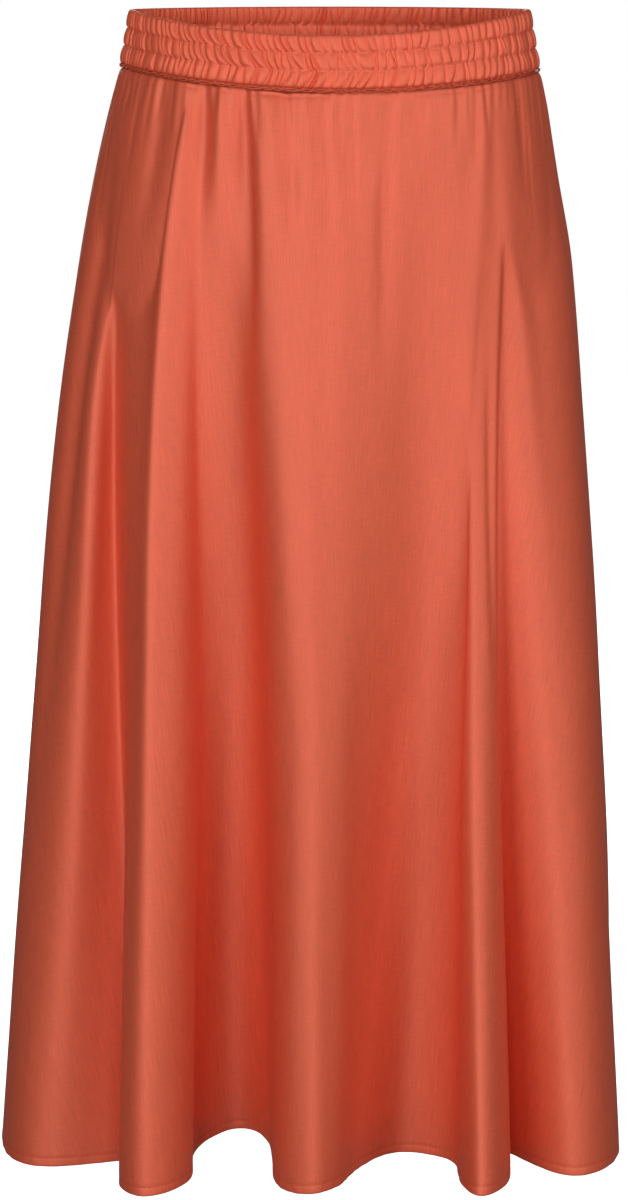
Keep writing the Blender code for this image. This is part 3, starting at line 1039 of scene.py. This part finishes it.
class SkirtCloth(bpy.types.PropertyGroup):
    """The satin's colour and surface."""

    colour: bpy.props.FloatVectorProperty(
        name="Cloth colour", description="Colour of the satin", subtype="COLOR",
        size=3, min=0, max=1, default=(0.79, 0.112, 0.045))
    thread_colour: bpy.props.FloatVectorProperty(
        name="Thread colour", description="Colour of the sewing thread", subtype="COLOR",
        size=3, min=0, max=1, default=(0.62, 0.06, 0.03))
    roughness: bpy.props.FloatProperty(
        name="Roughness", description="How soft the satin's shine is", subtype="FACTOR",
        min=0, max=1, default=0.6)
    shine: bpy.props.FloatProperty(
        name="Shine", description="How strong the satin's shine is", subtype="FACTOR",
        min=0, max=1, default=1.0)
    coat: bpy.props.FloatProperty(
        name="Pale shine", description="A pale, wide shine over the satin's own", subtype="FACTOR",
        min=0, max=1, default=0.38)
    metal: bpy.props.FloatProperty(
        name="Gloss", description="How much light the threads throw back in their own colour",
        subtype="FACTOR", min=0, max=1, default=0.35)
    slub: bpy.props.FloatProperty(
        name="Slub", description="How unevenly the threads are coloured", subtype="FACTOR",
        min=0, max=1, default=0.5)
    mottle: bpy.props.FloatProperty(
        name="Mottle", description="How much the colour drifts over the cloth", subtype="FACTOR",
        min=0, max=1, default=0.06)


class SkirtStudio(bpy.types.PropertyGroup):
    """The light and the floor."""

    power: bpy.props.FloatProperty(
        name="Lights", description="Power of all the soft lights together", unit="POWER",
        min=0, default=142.0)
    surround: bpy.props.FloatProperty(
        name="Surround", description="Strength of the light from all round", min=0, default=0.1)
    floor_drop: bpy.props.FloatProperty(
        name="Floor level", description="Height of the floor under the waist", unit="LENGTH",
        max=0, default=FLOOR_LEVEL)


class SKIRT_OT_sew_panels(bpy.types.Operator):
    """Make the front and the back panel of satin"""

    bl_idname = "skirt.sew_panels"
    bl_label = "Sew panels"

    def execute(self, context):
        cloth = kept_material("satin_cloth")
        for name, node, span in zip(("front_panel", "back_panel"), ("skirt_front", "skirt_back"),
                                    panel_spans()):
            piece = panel(name, *span, cloth)
            hand_over(piece, "satin", node)
        return {"FINISHED"}


class SKIRT_OT_join_sides(bpy.types.Operator):
    """Make the seam allowances inside the two side seams"""

    bl_idname = "skirt.join_sides"
    bl_label = "Join sides"

    def execute(self, context):
        cloth = kept_material("satin_cloth")
        (_, right), (_, left) = panel_spans()
        for name, share in (("right_side_seam", right), ("left_side_seam", left)):
            hand_over(side_seam(name, share, cloth), "satin")
        return {"FINISHED"}


class SKIRT_OT_ruche_waistband(bpy.types.Operator):
    """Make the ruched waistband and the twisted seam under it"""

    bl_idname = "skirt.ruche_waistband"
    bl_label = "Ruche waistband"

    def execute(self, context):
        # The band's satin is painted paler as painted light, and the seam's darker as painted
        # shade
        cloth = kept_material("ruched_cloth_painted_light")
        # The seam under the band uses the satin darkened as painted shade
        seam = kept_material("seam_cloth_painted_shade")
        band = waistband("ruched_band", cloth)
        hand_over(band, "ruched_satin", "waistband")
        hand_over(seam_rope("waist_seam", seam), "ruched_satin")
        return {"FINISHED"}


class SKIRT_OT_stitch(bpy.types.Operator):
    """Make the stitches of the hem and of the waistband's channels"""

    bl_idname = "skirt.stitch"
    bl_label = "Stitch"

    def execute(self, context):
        cotton = kept_material("thread", thread)
        hand_over(hem_stitches("hem_stitches", cotton), "satin")
        hand_over(channel_stitches("channel_stitches", cotton), "ruched_satin")
        return {"FINISHED"}


class SKIRT_OT_set_studio(bpy.types.Operator):
    """Set the floor, the lights and the camera"""

    bl_idname = "skirt.set_studio"
    bl_label = "Set studio"

    def execute(self, context):
        studio = context.scene.skirt_studio
        pale_floor(studio)
        for lamp in LAMPS:
            soft_light(lamp, studio.power * lamp.share)
        surround(studio.surround)
        photo_camera()
        context.scene.view_settings.view_transform = "Standard"
        return {"FINISHED"}


class SKIRT_PT_panel(bpy.types.Panel):
    """Lists the steps that make the skirt"""

    bl_label = "Satin maxi skirt"
    bl_idname = "SKIRT_PT_panel"
    bl_space_type = "VIEW_3D"
    bl_region_type = "UI"
    bl_category = "Skirt"

    def draw(self, context):
        for settings in (context.scene.skirt_cloth, context.scene.skirt_studio):
            box = self.layout.box()
            for name in type(settings).__annotations__:
                box.prop(settings, name)
        for step in STEPS:
            self.layout.operator(step.bl_idname)


def pale_floor(studio):
    """A plain pale floor under the skirt."""
    select_nothing()
    bpy.ops.mesh.primitive_plane_add(size=14.0, location=(0, 0, studio.floor_drop))
    floor = bpy.context.object
    floor.name = "floor"
    graph = Graph("pale_floor")
    grain = graph.node("TexNoise", Vector=graph.read(graph.node("TexCoord"), "Object"), Scale=3.0)
    graph.feed(graph.shader, "Roughness", 0.8 + graph.read(grain, "Fac") * 0.1)
    graph.shader.inputs["Base Color"].default_value = (0.92, 0.92, 0.92, 1)
    graph.shader.inputs["Emission Color"].default_value = (1, 1, 1, 1)
    graph.shader.inputs["Emission Strength"].default_value = 1.0
    floor.data.materials.append(graph.material)
    floor.visible_diffuse = False
    floor.visible_glossy = False


def soft_light(lamp, power):
    """A square area light that faces the middle of the skirt."""
    area = bpy.data.lights.new(lamp.name, "AREA")
    area.size = LAMP_SIZE
    area.energy = power
    light = add_object(lamp.name, area)
    light.location = (lamp.x, lamp.y, lamp.z)
    light.visible_camera = False
    toward = Vector((0, 0, MIDDLE_LEVEL)) - light.location
    light.rotation_euler = toward.to_track_quat("-Z", "Y").to_euler()


def surround(strength):
    """White all round for the camera, and a dimmer light from all round on the cloth."""
    world = bpy.data.worlds.new("surround")
    bpy.context.scene.world = world
    world.use_nodes = True
    nodes = world.node_tree.nodes
    links = world.node_tree.links
    seen = nodes["Background"]
    seen.inputs["Color"].default_value = (1, 1, 1, 1)
    lit = nodes.new("ShaderNodeBackground")
    lit.inputs["Color"].default_value = (1, 1, 1, 1)
    lit.inputs["Strength"].default_value = strength
    path = nodes.new("ShaderNodeLightPath")
    both = nodes.new("ShaderNodeMixShader")
    links.new(path.outputs["Is Camera Ray"], both.inputs["Fac"])
    links.new(lit.outputs["Background"], both.inputs[1])
    links.new(seen.outputs["Background"], both.inputs[2])
    links.new(both.outputs["Shader"], nodes["World Output"].inputs["Surface"])


def photo_camera():
    """The camera at the photograph's place and angle."""
    lens = bpy.data.cameras.new("camera")
    lens.lens = CAMERA_LENS
    lens.sensor_width = CAMERA_SENSOR
    camera = add_object("camera", lens)
    camera.location = CAMERA_PLACE
    camera.rotation_euler = (math.radians(CAMERA_TILT), 0, 0)
    bpy.context.scene.camera = camera


STEPS = (
    SKIRT_OT_set_studio,
    SKIRT_OT_sew_panels,
    SKIRT_OT_join_sides,
    SKIRT_OT_ruche_waistband,
    SKIRT_OT_stitch,
)
CLASSES = (SkirtCloth, SkirtStudio, *STEPS, SKIRT_PT_panel)


def register():
    for made in CLASSES:
        bpy.utils.register_class(made)
    bpy.types.Scene.skirt_cloth = bpy.props.PointerProperty(type=SkirtCloth)
    bpy.types.Scene.skirt_studio = bpy.props.PointerProperty(type=SkirtStudio)


def unregister():
    del bpy.types.Scene.skirt_studio
    del bpy.types.Scene.skirt_cloth
    for made in reversed(CLASSES):
        bpy.utils.unregister_class(made)


def main():
    register()
    bpy.ops.skirt.set_studio()
    bpy.ops.skirt.sew_panels()
    bpy.ops.skirt.join_sides()
    bpy.ops.skirt.ruche_waistband()
    bpy.ops.skirt.stitch()


if __name__ == "__main__":
    main()
